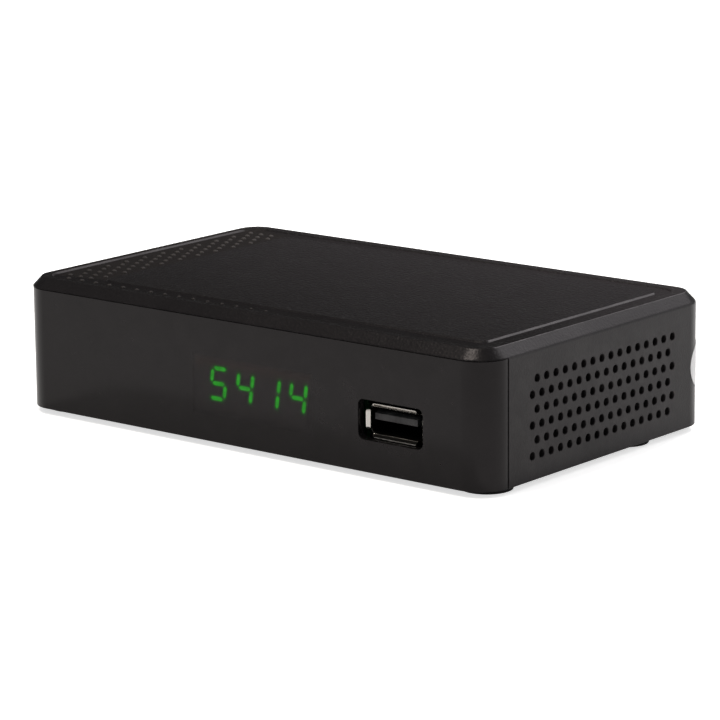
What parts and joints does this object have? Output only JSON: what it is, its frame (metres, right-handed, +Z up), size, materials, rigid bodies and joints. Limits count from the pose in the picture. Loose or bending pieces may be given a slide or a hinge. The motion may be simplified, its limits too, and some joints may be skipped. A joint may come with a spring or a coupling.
{
  "type": "terrestrial tv receiver",
  "caption": "Small black box with vented sides, a wrapped front panel with a green number display and a USB port, and aerial, HDMI, SCART and power sockets behind",
  "frame": {"origin": "Middle of the lowest plane, under the feet. The box that it is the middle of takes in the aerial sockets, which stand out behind the case.", "axes": "+X is to the object's left as it faces the viewer, so to the right in a front view. The front panel faces -Y and the sockets face +Y. +Z is up."},
  "size_m": [0.1212, 0.0816, 0.0285],
  "materials": {
    "case_plastic": "fine matt grain",
    "panel_plastic": "dark smoke tint, half gloss",
    "foot_rubber": "matt",
    "steel": "plated, half bright",
    "brass": "plated",
    "board": "solder mask",
    "dark_plastic": "moulded",
    "light_plastic": "moulded",
    "aluminium": "extruded",
    "ferrite": "matt",
    "sleeve": "shrunk film"
  },
  "bodies": {
    "root": {"top_shell": "case_plastic", "base_plate": "case_plastic", "front_panel": "panel_plastic", "foot_front_right": "foot_rubber", "foot_front_left": "foot_rubber", "foot_rear_right": "foot_rubber", "foot_rear_left": "foot_rubber", "case_screw_1": "steel", "case_screw_2": "steel", "case_screw_3": "steel", "case_screw_4": "steel", "board_screw_1": "steel", "board_screw_2": "steel", "board_screw_3": "steel", "board_screw_4": "steel", "tuner_can": "steel", "tuner_lid": "steel", "usb_shell": "steel", "hdmi_shell": "steel", "rear_plate": "steel", "aerial_in_barrel": "steel", "aerial_out_barrel": "steel", "power_pin": "steel", "crystal": "steel", "aerial_in_contact": "brass", "aerial_out_contact": "brass", "usb_contact_1": "brass", "usb_contact_2": "brass", "usb_contact_3": "brass", "usb_contact_4": "brass", "main_board": "board", "display_board": "board", "main_chip": "dark_plastic", "memory_chip": "dark_plastic", "flash_chip": "dark_plastic", "board_header": "dark_plastic", "remote_sensor": "dark_plastic", "hdmi_tongue": "dark_plastic", "usb_tongue": "dark_plastic", "scart_frame": "dark_plastic", "scart_block": "dark_plastic", "power_socket": "dark_plastic", "number_display": "dark_plastic", "aerial_in_insulator": "light_plastic", "aerial_out_insulator": "light_plastic", "heat_sink": "aluminium", "coil_1": "ferrite", "coil_2": "ferrite", "capacitor_1": "sleeve", "capacitor_2": "sleeve", "capacitor_3": "sleeve", "capacitor_4": "sleeve"}
  },
  "joints": []
}
